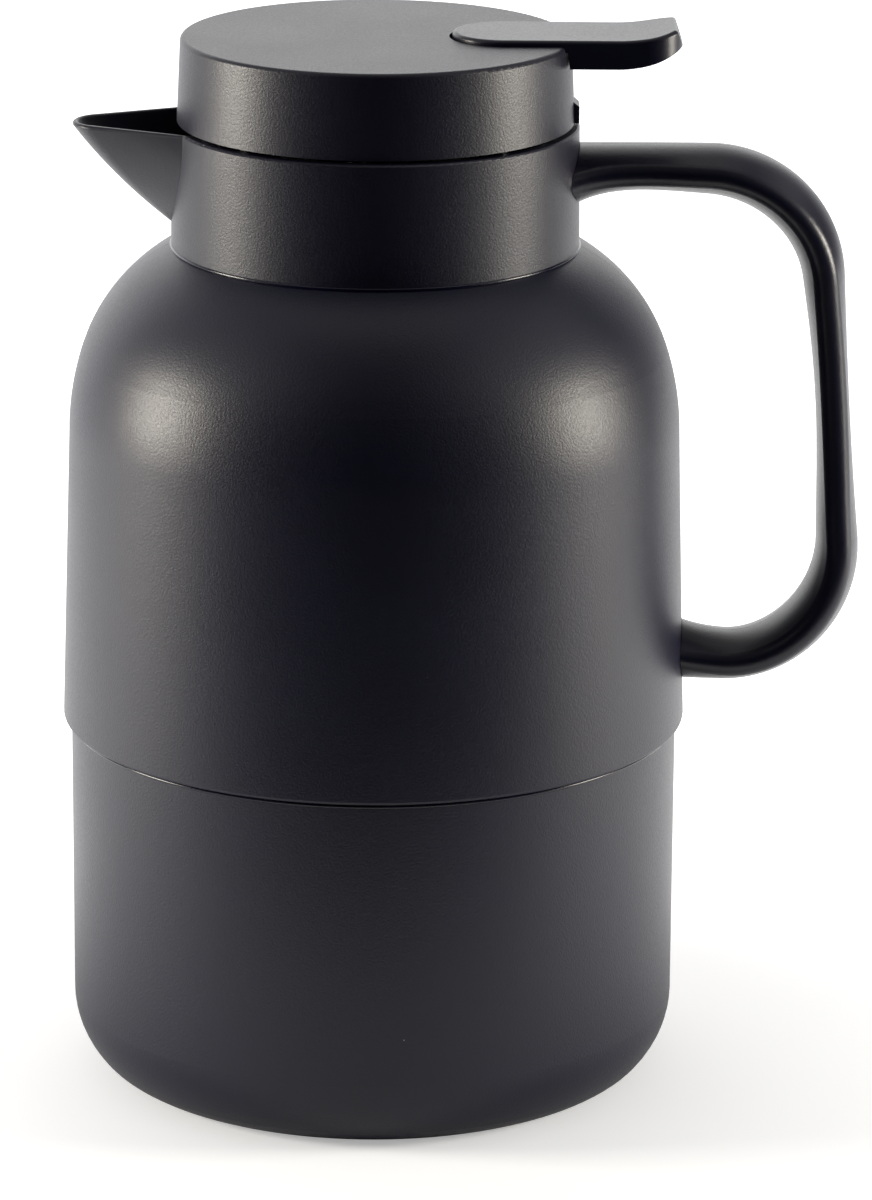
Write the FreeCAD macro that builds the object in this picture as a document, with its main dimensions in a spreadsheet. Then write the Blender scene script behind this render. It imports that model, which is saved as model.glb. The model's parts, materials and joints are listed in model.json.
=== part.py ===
import FreeCAD, Part

import math
import os
import re

import Sketcher

# Thermal carafe with a screw lid, a thumb lever and a spring valve.
# Origin on the floor at the jug's axis, Z up, handle towards +X, spout towards -X, millimetres.

# Driving sizes, one cell each
SIZES = {
    # lower shell
    "lower_radius": 71.15,
    "lower_height": 85.3,
    "shell_wall": 2.2,
    "corner_in": 12.9,
    "corner_up": 17.1,
    "corner_radius": 10.5,
    "base_rim_width": 8.25,
    "foot_height": 2.4,
    "spigot_height": 9.0,
    "shell_fit": 0.15,
    # upper shell
    "rim_step": 1.85,
    "rim_lip": 0.8,
    "side_height": 68.1,
    "side_taper": 2.0,
    "shoulder_arc": 63.5,
    "shoulder_turn": 18.5,
    "dome_arc": 42.0,
    "neck_ring": 2.6,
    "seat_width": 3.1,
    # collar and spout
    "collar_radius": 46.8,
    "collar_flare": 0.3,
    "collar_height": 28.7,
    "collar_wall": 2.3,
    "collar_edge": 0.5,
    "collar_fit": 0.2,
    "skirt_depth": 6.6,
    "skirt_wall": 1.9,
    "skirt_gap": 0.6,
    "snap_catch": 0.7,
    "seal_width": 3.5,
    "pour_floor": 4.0,
    "spout_length": 23.3,
    "spout_tip_radius": 8.0,
    "spout_angle": 24.0,
    "spout_mid_rise": 15.5,
    "spout_mid_length": 11.8,
    "spout_mid_radius": 8.0,
    "spout_mid_angle": 35.0,
    "spout_low_rise": 3.9,
    "spout_low_inset": 1.8,
    "spout_low_radius": 10.0,
    "spout_low_angle": 60.0,
    "spout_wall": 1.7,
    "spout_rounding": 0.6,
    "channel_mid_inset": 2.4,
    "channel_low_inset": 2.8,
    "channel_floor": 1.5,
    "channel_root": 3.0,
    "channel_low_angle": 40.0,
    # handle
    "handle_drop": 10.3,
    "handle_low": 14.6,
    "handle_out": 4.0,
    "bend_upper": 26.7,
    "bend_lower": 26.65,
    "handle_lean": 4.2,
    "root_inset": 4.0,
    "arm_start": 6.0,
    "foot_start": 5.0,
    "grip_width": 22.0,
    "grip_depth": 9.8,
    "arm_width": 23.0,
    "arm_depth": 11.2,
    "root_width": 30.0,
    "root_depth": 15.6,
    "root_sag": 2.2,
    "foot_arm_depth": 11.9,
    "foot_width": 22.6,
    "foot_depth": 15.1,
    "foot_lift": 1.75,
    "section_edge": 3.2,
    "seat_gap": 0.1,
    "tenon_width": 10.0,
    "tenon_height": 7.0,
    "tenon_length": 5.4,
    "tenon_fit": 0.15,
    "socket_wall": 1.8,
    "handle_screw_radius": 1.75,
    "handle_screw_head": 3.2,
    "handle_screw_head_height": 2.0,
    "handle_screw_length": 14.0,
    "screw_fit": 0.05,
    "screw_hole_gap": 0.3,
    "screw_tip_gap": 1.0,
    # glass flask
    "flask_gap": 1.8,
    "flask_drop": 8.0,
    "glass_wall": 1.6,
    "vacuum_gap": 5.0,
    "flask_corner": 14.0,
    "neck_width": 5.8,
    "outer_neck_fillet": 3.0,
    "inner_neck_fillet": 4.0,
    "lip_rise": 4.9,
    "lip_height": 3.0,
    "lip_round": 1.2,
    "tip_radius": 3.5,
    "tip_length": 4.0,
    "seal_thickness": 2.0,
    "cushion_height": 5.2,
    "cushion_inset": 4.0,
    "cushion_edge": 1.0,
    "cushion_hole_gap": 3.0,
    "pad_radius": 5.0,
    "pad_inset": 17.0,
    # lid
    "lid_gap": 0.7,
    "lid_height": 19.4,
    "lid_step": 1.2,
    "lid_draft": 0.8,
    "lid_edge": 1.0,
    "lid_wall": 2.2,
    "lid_plate": 2.2,
    "lid_fit": 0.3,
    "rib_width": 7.0,
    "rib_height": 5.6,
    "rib_proud": 1.0,
    "rib_slope": 1.8,
    "boss_wall": 1.7,
    "lid_screw_inset": 6.6,
    "lid_screw_radius": 1.5,
    "lid_screw_head_over": 1.2,
    "lid_screw_head_height": 1.7,
    "lid_screw_bite": 7.0,
    "stopper_gap": 1.5,
    "stopper_wall": 2.4,
    "stopper_floor": 2.0,
    "stopper_drop": 1.0,
    "stopper_edge": 1.0,
    "flange_thickness": 2.2,
    "valve_hole": 12.0,
    "seat_rim": 2.0,
    "seat_rise": 1.0,
    "groove_depth": 0.9,
    "groove_rise": 0.5,
    "gasket_height": 3.0,
    "gasket_edge": 0.7,
    "gasket_clearance": 0.3,
    "groove_fit": 0.1,
    "window_width": 26.0,
    "window_sill": 2.4,
    "window_head": 2.6,
    "guide_thickness": 2.0,
    # lever and pin
    "pivot_inset": 6.6,
    "pivot_drop": 5.9,
    "pin_radius": 1.25,
    "pin_fit": 0.05,
    "pin_proud": 0.3,
    "hub_wall": 1.45,
    "hub_half": 6.0,
    "lug_gap": 0.3,
    "lug_thickness": 2.6,
    "lever_half": 12.0,
    "lever_inlay": 28.2,
    "lever_proud": 1.3,
    "lever_sunk": 1.4,
    "lever_turn_out": 9.4,
    "lever_overhang": 24.3,
    "lever_tip_back": 1.5,
    "lever_tip_rise": 2.1,
    "lever_tip_low": 2.1,
    "lever_depth": 6.5,
    "lever_corner": 8.0,
    "lever_edge": 0.9,
    "lever_wall_gap": 0.4,
    "slot_gap": 0.7,
    "notch_depth": 3.0,
    "crest_radius": 1.9,
    "crest_gap": 0.4,
    "fork_gap": 0.7,
    "fork_clear": 1.0,
    "fork_web": 0.5,
    "prong_under": 1.6,
    "prong_over": 0.9,
    "arm_back": 3.0,
    "arm_rise": 1.0,
    # valve
    "stem_radius": 3.0,
    "stem_fit": 0.08,
    "head_over": 2.8,
    "stem_head_height": 1.8,
    "stem_head_gap": 0.2,
    "disc_thickness": 2.5,
    "hub_boss_height": 1.5,
    "washer_over": 1.5,
    "washer_thickness": 2.0,
    "boss_pin_radius": 4.0,
    "boss_pin_fit": 0.05,
    "boss_pin_gap": 0.1,
    "retainer_over": 4.0,
    "retainer_edge": 1.0,
    "retainer_floor": 0.9,
    "retainer_rise": 0.1,
    "grommet_wall": 1.87,
    "grommet_lip": 1.25,
    "grommet_fit": 0.05,
    "grommet_flange": 1.5,
    "spring_gap": 0.35,
    "spring_wire": 0.45,
    "spring_fit": 0.05,
    "spring_turns": 6.0,
}

# Levels and radii that follow from the driving sizes
LEVELS = {
    "floor_z": "foot_height + shell_wall",
    "corner_side": "(corner_in^2 + corner_up^2 - 2 * corner_up * corner_radius)"
    " / (2 * (corner_in - corner_radius))",
    "corner_ux": "(corner_side - corner_in) / (corner_side - corner_radius)",
    "corner_uz": "(corner_radius - corner_up) / (corner_side - corner_radius)",
    "base_cx": "lower_radius - corner_in",
    "foot_inner_radius": "base_cx - base_rim_width",
    "rim_radius": "lower_radius + rim_step",
    "shoulder_radius": "rim_radius - side_taper",
    "seam_z": "lower_height",
    "shoulder_z": "seam_z + side_height",
    "taper": "side_taper / side_height",
    "spigot_radius": "rim_radius - taper * spigot_height - shell_wall - shell_fit",
    "shoulder_cx": "shoulder_radius - shoulder_arc",
    "dome_cx": "shoulder_cx + (shoulder_arc - dome_arc) * cos(shoulder_turn)",
    "dome_cz": "shoulder_z + (shoulder_arc - dome_arc) * sin(shoulder_turn)",
    "collar_base_radius": "collar_radius + collar_flare",
    "seat_z": "dome_cz + sqrt(dome_arc^2 - (collar_base_radius - dome_cx)^2)",
    "collar_top": "seat_z + collar_height",
    "collar_inner": "collar_radius - collar_wall",
    "neck_hole_radius": "collar_radius - seat_width",
    "skirt_radius": "neck_hole_radius - collar_fit",
    "skirt_inner": "skirt_radius - skirt_wall",
    "flask_neck_radius": "skirt_inner - skirt_gap",
    "bore_radius": "flask_neck_radius - seal_width",
    "neck_inner_radius": "flask_neck_radius - neck_width",
    "skirt_z": "seat_z - skirt_depth",
    "snap_z": "seat_z - neck_ring - collar_fit",
    "lip_z": "seat_z + lip_rise",
    "pour_low_z": "lip_z + seal_thickness",
    "pour_z": "pour_low_z + pour_floor",
    "spout_reach": "collar_radius + spout_length",
    "spout_mid_reach": "collar_radius + spout_mid_length",
    "spout_low_reach": "collar_radius - spout_low_inset",
    "spout_mid_z": "seat_z + spout_mid_rise",
    "spout_low_z": "seat_z + spout_low_rise",
    "handle_z": "collar_top - handle_drop",
    "handle_arm": "rim_radius + handle_out",
    "handle_low_z": "seam_z + handle_low",
    "bend_top_x": "handle_arm + bend_upper * cos(handle_lean)",
    "bend_top_z": "handle_z - bend_upper + bend_upper * sin(handle_lean)",
    "bend_low_z": "handle_low_z + bend_lower + bend_lower * sin(handle_lean)",
    "bend_low_x": "bend_top_x + (bend_top_z - bend_low_z) * tan(handle_lean)",
    "low_arm_x": "bend_low_x - bend_lower * cos(handle_lean)",
    "low_shell_radius": "rim_radius - taper * handle_low",
    "flask_base_z": "floor_z + cushion_height",
    "flask_z": "shoulder_z - flask_drop",
    "flask_cz": "dome_cz - flask_drop",
    "inner_base_z": "flask_base_z + glass_wall + vacuum_gap",
    "outer_neck_z": "lip_z - lip_height",
    "outer_inset": "shell_wall + flask_gap",
    "inner_inset": "outer_inset + glass_wall + vacuum_gap",
    "cushion_radius": "foot_inner_radius - cushion_inset",
    "pad_ring": "shoulder_radius - outer_inset - flask_corner - pad_inset",
    "lid_radius": "collar_radius - lid_step",
    "boss_radius": "lid_screw_radius + boss_wall",
    "lid_screw_ring": "lid_radius - lid_screw_inset",
    "lid_screw_head": "lid_screw_radius + lid_screw_head_over",
    "lid_screw_hole": "lid_screw_radius + screw_hole_gap",
    "stopper_radius": "bore_radius - stopper_gap",
    "lid_z": "collar_top + lid_gap",
    "lid_top": "lid_z + lid_height",
    "plate_z": "lid_top - lid_plate",
    "flange_z": "lid_z + lid_fit",
    "flange_radius": "lid_radius - lid_wall - lid_fit",
    "guide_z": "flange_z + flange_thickness",
    "guide_top": "guide_z + guide_thickness",
    "guide_radius": "lid_radius - lid_draft - lid_wall - lid_fit",
    "stopper_z": "pour_low_z - stopper_drop",
    "seat_top": "stopper_z + stopper_floor + seat_rise",
    "groove_z": "pour_low_z + groove_rise",
    "groove_top": "groove_z + gasket_height + 2 * groove_fit",
    "groove_radius": "stopper_radius - groove_depth",
    "pivot_x": "lid_radius - pivot_inset",
    "pivot_z": "lid_top - pivot_drop",
    "hub_radius": "pin_radius + hub_wall",
    "lever_nose": "lid_radius - lever_inlay",
    "lever_turn": "lid_radius + lever_turn_out",
    "lever_tip": "lid_radius + lever_overhang",
    "lever_top": "lid_top + lever_proud",
    "tongue_z": "lid_top - lever_sunk",
    "lever_low": "lever_top - lever_depth",
    "drop_x": "lid_radius - lid_wall",
    "nose_cx": "lever_nose + lever_half",
    "crest_z": "guide_top + crest_gap + crest_radius",
    "head_z": "crest_z + crest_radius + stem_head_gap",
    "fork_half": "stem_radius + fork_gap",
    "stem_head_radius": "fork_half + head_over",
    "fork_depth": "stem_head_radius + fork_clear",
    "fork_root": "fork_depth + fork_web",
    "lug_in": "hub_half + lug_gap",
    "lug_out": "lug_in + lug_thickness",
    "disc_radius": "valve_hole + seat_rim",
    "washer_radius": "disc_radius + washer_over",
    "retainer_radius": "boss_pin_radius + retainer_over",
    "grommet_radius": "stem_radius + stem_fit + grommet_wall",
    "hub_boss_radius": "grommet_radius + grommet_lip",
    "spring_radius": "hub_boss_radius + spring_gap + spring_wire",
    "disc_z": "seat_top + washer_thickness",
    "disc_top": "disc_z + disc_thickness",
    "retainer_z": "stopper_z + retainer_rise",
    "boss_pin_z": "retainer_z + retainer_floor + boss_pin_gap",
}

FUNCTIONS = ("sqrt", "sin", "cos", "tan")
FULL_TURN = 360.0
SCREW_ANGLES = (45.0, 135.0, 225.0, 315.0)
PAD_ANGLES = (0.0, 120.0, 240.0)

# How far a cut reaches past what it cuts, and how far a raised part starts inside its carrier
CUT_MARGIN = 2.0
SINK = 0.5
SPOUT_ROOT = 4.0
CHANNEL_OVER = 1.0
WINDOW_COUNT = 6
NEAR = 0.01

doc = FreeCAD.newDocument("carafe")
sheet = doc.addObject("Spreadsheet::Sheet", "Sizes")
for row, name in enumerate(SIZES, start=1):
    sheet.set(f"A{row}", name)
    sheet.set(f"B{row}", str(SIZES[name]))
    sheet.setAlias(f"B{row}", name)
doc.recompute()


def bound(formula):
    """The formula as text that the document can follow, with each size and level named in full."""

    def full(match):
        word = match.group(0)
        if word in SIZES:
            return "Sizes." + word
        if word in LEVELS:
            return "Levels." + word
        if word in FUNCTIONS:
            return word
        raise ValueError(f"unknown size {word}")

    return re.sub(r"[A-Za-z_][A-Za-z_0-9]*", full, str(formula))


levels = doc.addObject("App::VarSet", "Levels")
for name in LEVELS:
    levels.addProperty("App::PropertyFloat", name, "Levels")
for name in LEVELS:
    levels.setExpression(name, bound(LEVELS[name]))
doc.recompute()


def value(formula):
    """The number that a formula has now."""
    return float(sheet.evalExpression(bound(formula)))


def less(formula):
    """The formula with its sign turned."""
    return f"-({formula})"


# Sketch helpers
def arc_between(start, end, radius, turn):
    """An arc from start to end; turn is 1 for anticlockwise and -1 for clockwise."""
    chord = end - start
    half = chord.Length / 2
    if half > radius + NEAR:
        raise ValueError(f"an arc of radius {radius} can't span {2 * half}")
    left = FreeCAD.Vector(-chord.y, chord.x, 0).normalize()
    rise = math.sqrt(max(radius**2 - half**2, 0.0))
    centre = start + chord * 0.5 + left * (rise * turn)
    circle = Part.Circle(centre, FreeCAD.Vector(0, 0, 1), radius)
    first, last = (start, end) if turn > 0 else (end, start)
    low = math.atan2(first.y - centre.y, first.x - centre.x)
    high = math.atan2(last.y - centre.y, last.x - centre.x)
    if high <= low:
        high += 2 * math.pi
    return Part.ArcOfCircle(circle, low, high)


def place_point(sketch, geo, pos, x, y):
    """Bind a point of the sketch to its two formulas."""
    axes = (("DistanceX", x, -2), ("DistanceY", y, -1))
    for kind, formula, axis in axes:
        if str(formula) == "0":
            sketch.addConstraint(Sketcher.Constraint("PointOnObject", geo, pos, axis))
            continue
        rule = Sketcher.Constraint(kind, -1, 1, geo, pos, value(formula))
        index = sketch.addConstraint(rule)
        sketch.setExpression(f"Constraints[{index}]", bound(formula))


def bind_radius(sketch, geo, formula):
    """Bind the radius of a circle or an arc."""
    index = sketch.addConstraint(Sketcher.Constraint("Radius", geo, value(formula)))
    sketch.setExpression(f"Constraints[{index}]", bound(formula))


def draw_loop(sketch, steps, closed=True):
    """Draw a run of lines and arcs. A step is (x, y) or (x, y, radius, turn)."""
    points = [FreeCAD.Vector(value(s[0]), value(s[1]), 0) for s in steps]
    pairs = list(range(1, len(steps)))
    if closed:
        pairs.append(0)
    pieces = []
    for here in pairs:
        before = here - 1
        step = steps[here]
        start, end = points[before], points[here]
        if len(step) == 4:
            curve = arc_between(start, end, value(step[2]), step[3])
            geo = sketch.addGeometry(curve, False)
            ends = (1, 2) if step[3] > 0 else (2, 1)
        else:
            geo = sketch.addGeometry(Part.LineSegment(start, end), False)
            ends = (1, 2)
        pieces.append((geo, ends, here))
    count = len(pieces)
    for i, (geo, ends, here) in enumerate(pieces):
        following = pieces[(i + 1) % count]
        if closed or i + 1 < count:
            rule = Sketcher.Constraint("Coincident", geo, ends[1], following[0], following[1][0])
            sketch.addConstraint(rule)
    for geo, ends, here in pieces:
        place_point(sketch, geo, ends[1], steps[here][0], steps[here][1])
    if not closed:
        place_point(sketch, pieces[0][0], pieces[0][1][0], steps[0][0], steps[0][1])
    for geo, ends, here in pieces:
        if len(steps[here]) == 4:
            bind_radius(sketch, geo, steps[here][2])


def draw_circle(sketch, x, y, radius):
    """Draw a circle with a bound centre and radius."""
    centre = FreeCAD.Vector(value(x), value(y), 0)
    curve = Part.Circle(centre, FreeCAD.Vector(0, 0, 1), value(radius))
    geo = sketch.addGeometry(curve, False)
    place_point(sketch, geo, 3, x, y)
    bind_radius(sketch, geo, radius)


def new_body(label):
    """A body whose label is the name of its node."""
    body = doc.addObject("PartDesign::Body", "Body_" + label)
    body.Label = label
    return body


def new_sketch(body, name, plane, away="0", up="0"):
    """A sketch on a plane of the body's own origin, shifted along its normal and up in its plane."""
    sketch = body.newObject("Sketcher::SketchObject", name)
    support = [f for f in body.Origin.OriginFeatures if f.Role == plane][0]
    sketch.AttachmentSupport = (support, [""])
    sketch.MapMode = "FlatFace"
    if away != "0":
        sketch.setExpression("AttachmentOffset.Base.z", bound(away))
    if up != "0":
        sketch.setExpression("AttachmentOffset.Base.y", bound(up))
    return sketch


def loop_sketch(body, name, plane, steps, away="0", up="0"):
    """A sketch with one closed loop."""
    sketch = new_sketch(body, name, plane, away, up)
    draw_loop(sketch, steps)
    return sketch


def turned(body, name, steps, cut=False):
    """Revolve a loop of the XZ plane round the jug's axis, to add or to cut."""
    sketch = loop_sketch(body, name + "_outline", "XZ_Plane", steps)
    kind = "PartDesign::Groove" if cut else "PartDesign::Revolution"
    feature = body.newObject(kind, name)
    feature.Profile = sketch
    feature.ReferenceAxis = (sketch, ["V_Axis"])
    feature.Angle = FULL_TURN
    return feature


def raised(body, name, sketch, length, both=False, back=False):
    """Pad a sketch."""
    feature = body.newObject("PartDesign::Pad", name)
    feature.Profile = sketch
    feature.setExpression("Length", bound(length))
    if both:
        feature.SideType = "Symmetric"
    feature.Reversed = back
    return feature


def pocketed(body, name, sketch, length, both=False, back=False):
    """Cut a sketch into the body; it must take something away."""
    doc.recompute()
    before = body.Shape.Volume
    feature = body.newObject("PartDesign::Pocket", name)
    feature.Profile = sketch
    feature.setExpression("Length", bound(length))
    if both:
        feature.SideType = "Symmetric"
    feature.Reversed = back
    doc.recompute()
    if body.Shape.Volume > before - NEAR:
        raise ValueError(f"{name} cuts nothing")
    return feature


def box_steps(x0, y0, x1, y1):
    """The four corners of an upright rectangle."""
    return [(x0, y0), (x1, y0), (x1, y1), (x0, y1)]


def polar(radius, angle):
    """The two formulas of a point at a fixed angle on a ring."""
    return f"{radius} * cos({angle})", f"{radius} * sin({angle})"


# Lower shell
def corner_join(inset):
    """Where the two arcs of the base edge meet, at an inset from the outside."""
    x = f"lower_radius - corner_side + (corner_side - {inset}) * corner_ux"
    z = f"corner_up + (corner_side - {inset}) * corner_uz"
    return x, z


lower_shell = new_body("lower_shell")
low_inner = "lower_radius - shell_wall"
spigot_z = "seam_z + spigot_height"
step_x = "foot_inner_radius + shell_wall"
turned(
    lower_shell,
    "lower_cup",
    [
        ("0", "foot_height"),
        ("foot_inner_radius", "foot_height"),
        ("foot_inner_radius", "0"),
        ("base_cx", "0"),
        (*corner_join("0"), "corner_radius", 1),
        ("lower_radius", "corner_up", "corner_side", 1),
        ("lower_radius", "seam_z"),
        ("spigot_radius", "seam_z"),
        ("spigot_radius", spigot_z),
        (low_inner, spigot_z),
        (low_inner, "corner_up"),
        (*corner_join("shell_wall"), "corner_side - shell_wall", -1),
        ("base_cx", "shell_wall", "corner_radius - shell_wall", -1),
        (step_x, "shell_wall"),
        (step_x, "floor_z"),
        ("0", "floor_z"),
    ],
)


# Upper shell
def shoulder_join(inset, base="shoulder_z"):
    """Where the shoulder's two arcs meet, at an inset from the outside."""
    x = f"shoulder_cx + (shoulder_arc - ({inset})) * cos(shoulder_turn)"
    z = f"{base} + (shoulder_arc - ({inset})) * sin(shoulder_turn)"
    return x, z


upper_shell = new_body("upper_shell")
ring_low = "seat_z - neck_ring"
ring_reach = "dome_cx + sqrt((dome_arc - shell_wall)^2 - (seat_z - neck_ring - dome_cz)^2)"
turned(
    upper_shell,
    "upper_dome",
    [
        ("rim_radius - shell_wall", "seam_z"),
        ("rim_radius - rim_lip", "seam_z"),
        ("rim_radius", "seam_z + rim_lip", "rim_lip", 1),
        ("shoulder_radius", "shoulder_z"),
        (*shoulder_join("0"), "shoulder_arc", 1),
        ("collar_base_radius", "seat_z", "dome_arc", 1),
        ("neck_hole_radius", "seat_z"),
        ("neck_hole_radius", ring_low),
        (ring_reach, ring_low),
        (*shoulder_join("shell_wall"), "dome_arc - shell_wall", -1),
        ("shoulder_radius - shell_wall", "shoulder_z", "shoulder_arc - shell_wall", -1),
    ],
)
hole_sketch = new_sketch(
    upper_shell, "handle_screw_hole_outline", "YZ_Plane", f"low_shell_radius + {CUT_MARGIN}"
)
draw_circle(hole_sketch, "0", "handle_low_z", "handle_screw_radius + screw_hole_gap")
pocketed(upper_shell, "handle_screw_hole", hole_sketch, f"shell_wall + {2 * CUT_MARGIN}")

# Collar with the spout
spout_collar = new_body("spout_collar")
top_edge = "collar_top - collar_edge"
turned(
    spout_collar,
    "collar_blank",
    [
        ("0", "skirt_z"),
        ("skirt_radius", "skirt_z"),
        ("neck_hole_radius + snap_catch", "snap_z"),
        ("skirt_radius", "snap_z"),
        ("skirt_radius", "seat_z"),
        ("collar_base_radius - collar_edge", "seat_z"),
        ("collar_base_radius", "seat_z + collar_edge", "collar_edge", 1),
        ("collar_radius", top_edge),
        ("collar_radius - collar_edge", "collar_top", "collar_edge", 1),
        ("0", "collar_top"),
    ],
)


def beak_steps(reach, radius, angle, root):
    """A V with a round nose towards -X, as wide at its root as its angle gives."""
    touch_x = f"-({reach}) + ({radius}) - ({radius}) * sin({angle})"
    touch_y = f"({radius}) * cos({angle})"
    wide = f"{touch_y} + (-({root}) - ({touch_x})) * tan({angle})"
    return [
        (less(root), wide),
        (touch_x, touch_y),
        (touch_x, less(touch_y), radius, 1),
        (less(root), less(wide)),
    ]


def lofted(body, name, sections, cut=False):
    """A loft through level sections, given as (height, steps)."""
    sketches = []
    for i, (height, steps) in enumerate(sections):
        sketches.append(loop_sketch(body, f"{name}_section_{i}", "XY_Plane", steps, height))
    kind = "PartDesign::SubtractiveLoft" if cut else "PartDesign::AdditiveLoft"
    feature = body.newObject(kind, name)
    feature.Profile = sketches[0]
    feature.Sections = sketches[1:]
    return feature


beak_root = f"collar_inner - {SPOUT_ROOT}"
lofted(
    spout_collar,
    "spout_beak",
    [
        ("collar_top", beak_steps("spout_reach", "spout_tip_radius", "spout_angle", beak_root)),
        (
            "spout_mid_z",
            beak_steps("spout_mid_reach", "spout_mid_radius", "spout_mid_angle", beak_root),
        ),
        (
            "spout_low_z",
            beak_steps("spout_low_reach", "spout_low_radius", "spout_low_angle", beak_root),
        ),
    ],
)
under = f"skirt_z - {CUT_MARGIN}"
over = f"collar_top + {CUT_MARGIN}"
turned(
    spout_collar,
    "collar_bore",
    [
        ("0", under),
        ("skirt_inner", under),
        ("skirt_inner", "pour_low_z"),
        ("bore_radius", "pour_low_z"),
        ("bore_radius", "pour_z"),
        ("collar_inner", "pour_z"),
        ("collar_inner", over),
        ("0", over),
    ],
    cut=True,
)
channel_start = "collar_inner - channel_root"
top_slope = "(spout_reach - spout_mid_reach) / (collar_top - spout_mid_z)"
top_reach = f"spout_reach - spout_wall + {CHANNEL_OVER} * {top_slope}"
mid_reach = "spout_mid_reach - channel_mid_inset"
mid_radius = "spout_mid_radius - channel_mid_inset"
low_share = "(pour_low_z + channel_floor - spout_low_z) / (spout_mid_z - spout_low_z)"
low_outer = f"spout_low_reach + (spout_mid_reach - spout_low_reach) * {low_share}"
low_reach = f"{low_outer} - channel_low_inset"
lofted(
    spout_collar,
    "spout_channel",
    [
        (
            f"collar_top + {CHANNEL_OVER}",
            beak_steps(top_reach, "spout_tip_radius - spout_wall", "spout_angle", channel_start),
        ),
        (
            "spout_mid_z",
            beak_steps(mid_reach, mid_radius, "spout_mid_angle", channel_start),
        ),
        (
            "pour_low_z + channel_floor",
            beak_steps(low_reach, mid_radius, "channel_low_angle", channel_start),
        ),
    ],
    cut=True,
)
doc.recompute()
hollow = spout_collar.Tip
rim_edges = []
for i, edge in enumerate(hollow.Shape.Edges, start=1):
    box = edge.BoundBox
    level = box.ZLength < NEAR and abs(box.ZMin - value("collar_top")) < NEAR
    if level and box.XMin < -value("spout_mid_reach"):
        rim_edges.append(f"Edge{i}")
rim = spout_collar.newObject("PartDesign::Fillet", "spout_rim")
rim.Base = (hollow, rim_edges)
rim.setExpression("Radius", bound("spout_rounding"))
doc.recompute()
socket_x = "collar_radius - tenon_length - tenon_fit"
block_x = f"{socket_x} - socket_wall"
block_half = "tenon_width / 2 + tenon_fit + socket_wall"
block_top = "handle_z + tenon_height / 2 + tenon_fit + socket_wall"
block_sketch = loop_sketch(
    spout_collar,
    "socket_block_outline",
    "YZ_Plane",
    box_steps(less(block_half), f"pour_z - {SINK}", block_half, block_top),
    block_x,
)
raised(spout_collar, "socket_block", block_sketch, f"collar_radius - collar_wall / 2 - ({block_x})")
tenon_half = "tenon_width / 2"
tenon_low = "handle_z - tenon_height / 2"
tenon_high = "handle_z + tenon_height / 2"
socket_sketch = loop_sketch(
    spout_collar,
    "handle_socket_outline",
    "YZ_Plane",
    box_steps(
        f"-{tenon_half} - tenon_fit",
        f"{tenon_low} - tenon_fit",
        f"{tenon_half} + tenon_fit",
        f"{tenon_high} + tenon_fit",
    ),
    f"collar_radius + {CUT_MARGIN}",
)
pocketed(spout_collar, "handle_socket", socket_sketch, f"collar_radius + {CUT_MARGIN} - ({socket_x})")


# Handle
def oval_steps(width, depth):
    """An oval of four arcs, wide in the sketch's X and deep in its Y."""
    a, b, e = f"({width}) / 2", f"({depth}) / 2", "section_edge"
    broad = f"((({a}) - {e})^2 + ({b})^2 - {e}^2) / (2 * (({b}) - {e}))"
    x = f"({a}) - {e} + {e} * (({a}) - {e}) / (({broad}) - {e})"
    y = f"{e} * (({broad}) - ({b})) / (({broad}) - {e})"
    return [
        (x, y, e, 1),
        (less(x), y, broad, 1),
        (less(x), less(y), e, 1),
        (x, less(y), broad, 1),
    ]


handle = new_body("handle")
path = new_sketch(handle, "handle_path", "XZ_Plane")
root_x = "collar_radius - root_inset"
foot_x = "low_shell_radius - root_inset"
draw_loop(
    path,
    [
        (root_x, "handle_z"),
        ("handle_arm", "handle_z"),
        ("bend_top_x", "bend_top_z", "bend_upper", -1),
        ("bend_low_x", "bend_low_z"),
        ("low_arm_x", "handle_low_z", "bend_lower", -1),
        (foot_x, "handle_low_z"),
    ],
    closed=False,
)
sections = [
    ("root_section", root_x, "handle_z - root_sag", "0", "root_width", "root_depth"),
    ("arm_section", "collar_radius + arm_start", "handle_z", "0", "arm_width", "arm_depth"),
    ("arm_end_section", "handle_arm", "handle_z", "0", "arm_width", "arm_depth"),
    ("grip_top_section", "bend_top_x", "bend_top_z", "90 - handle_lean", "grip_width", "grip_depth"),
    ("grip_low_section", "bend_low_x", "bend_low_z", "90 - handle_lean", "grip_width", "grip_depth"),
    ("low_section", "low_shell_radius + foot_start", "handle_low_z", "180", "grip_width", "foot_arm_depth"),
    ("foot_section", foot_x, "handle_low_z + foot_lift", "180", "foot_width", "foot_depth"),
]
section_sketches = []
for name, x, z, turn, width, depth in sections:
    section = new_sketch(handle, name, "YZ_Plane")
    section.AttachmentOffset = FreeCAD.Placement(
        FreeCAD.Vector(0, value(z), value(x)),
        FreeCAD.Rotation(FreeCAD.Vector(1, 0, 0), value(turn)),
    )
    section.setExpression("AttachmentOffset.Base.y", bound(z))
    section.setExpression("AttachmentOffset.Base.z", bound(x))
    if turn != "0":
        section.setExpression("AttachmentOffset.Rotation.Angle", bound(turn))
    draw_loop(section, oval_steps(width, depth))
    section_sketches.append(section)
sweep = handle.newObject("PartDesign::AdditivePipe", "handle_sweep")
sweep.Profile = section_sketches[0]
sweep.Spine = (path, [f"Edge{i + 1}" for i in range(path.GeometryCount)])
sweep.Sections = section_sketches[1:]
sweep.Transformation = "Multisection"
turned(
    handle,
    "collar_side_cut",
    [
        ("0", "seat_z"),
        ("collar_base_radius + seat_gap", "seat_z"),
        ("collar_radius + seat_gap", "collar_top"),
        ("0", "collar_top"),
    ],
    cut=True,
)
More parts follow.
